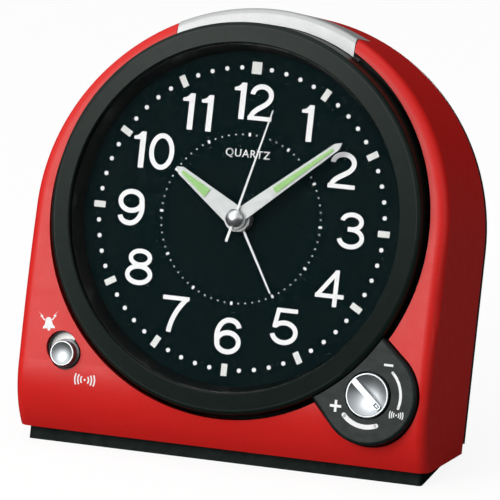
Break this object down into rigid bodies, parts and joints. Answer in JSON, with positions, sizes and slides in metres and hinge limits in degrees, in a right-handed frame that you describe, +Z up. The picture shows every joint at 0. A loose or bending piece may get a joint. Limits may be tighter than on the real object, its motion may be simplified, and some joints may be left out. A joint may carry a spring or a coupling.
{
  "type": "alarm clock",
  "caption": "Bedside quartz alarm clock with a round dial in an arched case on a wedge base, snooze bar, volume knob and alarm slider.",
  "frame": {"origin": "centre of the base's flat underside, where the clock stands on a table", "axes": "+Z up, the dial faces -Y and leans back 15 degrees, +X to the right of a viewer who faces the dial"},
  "size_m": [0.1186, 0.0677, 0.1193],
  "materials": {
    "red_lacquer": "satin metallic red lacquer on ABS",
    "black_satin": "satin black ABS",
    "black_grain": "fine-grained black ABS",
    "black_gloss": "polished black plastic",
    "silver_lacquer": "satin silver lacquer on ABS",
    "chrome": "bright chrome plating",
    "clear_crystal": "clear polished acrylic",
    "dial_black": "black printed dial plate",
    "hand_silver": "satin silver-white hands",
    "hand_white": "white lacquer",
    "white_plastic": "plain white plastic",
    "natural_plastic": "natural acetal",
    "frame_plastic": "dark moulded plastic",
    "knob_black": "knurled black plastic",
    "steel": "plain steel",
    "contact_metal": "nickel-plated spring steel",
    "copper": "enamelled copper wire",
    "circuit_board": "green circuit board",
    "component_black": "moulded components",
    "cone_paper": "coated speaker cone",
    "cell_jacket": "plain battery jacket",
    "lead_jacket": "soft red insulation"
  },
  "bodies": {
    "clock_case": {"alarm_flag": "white_plastic", "alarm_switch": "frame_plastic", "alarm_switch_housing": "black_gloss", "back_cover": "black_grain", "base_plinth": "black_grain", "battery_cells": "cell_jacket", "battery_contacts": "contact_metal", "battery_springs": "contact_metal", "bezel_ring": "black_satin", "board_components": "component_black", "case_screws": "steel", "case_shell": "red_lacquer", "coil_bobbin": "white_plastic", "coil_winding": "copper", "crystal": "clear_crystal", "dial": "dial_black", "dial_surround": "black_gloss", "inner_frame": "frame_plastic", "light_diodes": "white_plastic", "light_windows": "clear_crystal", "main_board": "circuit_board", "movement_board": "circuit_board", "movement_bridge": "frame_plastic", "movement_cover": "frame_plastic", "movement_plate": "frame_plastic", "movement_screws": "steel", "quartz_resonator": "contact_metal", "snooze_board": "circuit_board", "snooze_switch": "frame_plastic", "speaker_basket": "steel", "speaker_clamp": "frame_plastic", "speaker_cone": "cone_paper", "speaker_leads": "lead_jacket", "speaker_magnet": "steel", "stator": "steel", "volume_board": "circuit_board", "volume_panel": "black_grain", "volume_pot": "frame_plastic"},
    "snooze_bar": {"snooze_bar": "silver_lacquer"},
    "volume_control": {"volume_knob": "chrome", "volume_shaft": "natural_plastic"},
    "alarm_slider": {"alarm_slide_knob": "chrome"},
    "second_hand": {"second_hand": "hand_white", "hub_cap": "chrome", "second_wheel": "natural_plastic"},
    "fifth_wheel": {"fifth_wheel": "natural_plastic"},
    "rotor": {"rotor": "natural_plastic"},
    "third_wheel": {"third_wheel": "natural_plastic"},
    "center_wheel": {"center_wheel": "natural_plastic"},
    "minute_hand": {"minute_hand": "hand_silver", "minute_tube": "natural_plastic"},
    "time_setter": {"minute_wheel": "natural_plastic", "time_set_knob": "knob_black"},
    "hour_hand": {"hour_hand": "hand_silver", "hour_wheel": "natural_plastic"},
    "alarm_hand": {"alarm_hand": "hand_white", "alarm_wheel": "natural_plastic"},
    "alarm_setter": {"alarm_set_shaft": "natural_plastic", "alarm_set_knob": "knob_black"},
    "battery_door": {"battery_door": "black_grain"}
  },
  "joints": [
    {"name": "snooze_press", "type": "slide", "parent": "clock_case", "child": "snooze_bar", "axis": [0, -0.2588, -0.9659], "range_m": [0, 0.0008]},
    {"name": "volume_turn", "type": "hinge", "parent": "clock_case", "child": "volume_control", "pos_m": [0.04313, -0.02396, 0.0238], "axis": [0, 0.9659, -0.2588], "range_deg": [-102, 116]},
    {"name": "alarm_slide", "type": "slide", "parent": "clock_case", "child": "alarm_slider", "axis": [-0.6293, 0.2011, 0.7507], "range_m": [0, 0.002]},
    {"name": "second_spin", "type": "hinge", "parent": "clock_case", "child": "second_hand", "pos_m": [0, -0.01279, 0.06546], "axis": [0, 0.9659, -0.2588], "continuous": true},
    {"name": "fifth_spin", "type": "hinge", "parent": "clock_case", "child": "fifth_wheel", "pos_m": [0, -0.01512, 0.05677], "axis": [0, 0.9659, -0.2588], "continuous": true},
    {"name": "rotor_spin", "type": "hinge", "parent": "clock_case", "child": "rotor", "pos_m": [0, -0.01693, 0.05], "axis": [0, 0.9659, -0.2588], "continuous": true},
    {"name": "third_spin", "type": "hinge", "parent": "clock_case", "child": "third_wheel", "pos_m": [0, -0.01015, 0.07531], "axis": [0, 0.9659, -0.2588], "continuous": true},
    {"name": "center_spin", "type": "hinge", "parent": "clock_case", "child": "center_wheel", "pos_m": [0, -0.01279, 0.06546], "axis": [0, 0.9659, -0.2588], "continuous": true},
    {"name": "minute_spin", "type": "hinge", "parent": "clock_case", "child": "minute_hand", "pos_m": [0, -0.01279, 0.06546], "axis": [0, 0.9659, -0.2588], "continuous": true},
    {"name": "time_set_spin", "type": "hinge", "parent": "clock_case", "child": "time_setter", "pos_m": [0.00909, -0.01415, 0.06039], "axis": [0, 0.9659, -0.2588], "continuous": true},
    {"name": "hour_spin", "type": "hinge", "parent": "clock_case", "child": "hour_hand", "pos_m": [0, -0.01279, 0.06546], "axis": [0, 0.9659, -0.2588], "continuous": true},
    {"name": "alarm_spin", "type": "hinge", "parent": "clock_case", "child": "alarm_hand", "pos_m": [0, -0.01279, 0.06546], "axis": [0, 0.9659, -0.2588], "continuous": true},
    {"name": "alarm_set_spin", "type": "hinge", "parent": "clock_case", "child": "alarm_setter", "pos_m": [-0.00909, -0.01415, 0.06039], "axis": [0, 0.9659, -0.2588], "continuous": true},
    {"name": "door_slide", "type": "slide", "parent": "clock_case", "child": "battery_door", "axis": [1, 0, 0], "range_m": [0, 0.066]}
  ],
  "couplings": [
    {"joint": "fifth_spin", "follows": "second_spin", "ratio": -5},
    {"joint": "rotor_spin", "follows": "second_spin", "ratio": 30},
    {"joint": "third_spin", "follows": "second_spin", "ratio": -0.125},
    {"joint": "center_spin", "follows": "second_spin", "ratio": 0.016667},
    {"joint": "time_set_spin", "follows": "minute_spin", "ratio": -0.33333},
    {"joint": "hour_spin", "follows": "minute_spin", "ratio": 0.083333},
    {"joint": "alarm_set_spin", "follows": "alarm_spin", "ratio": -2}
  ]
}
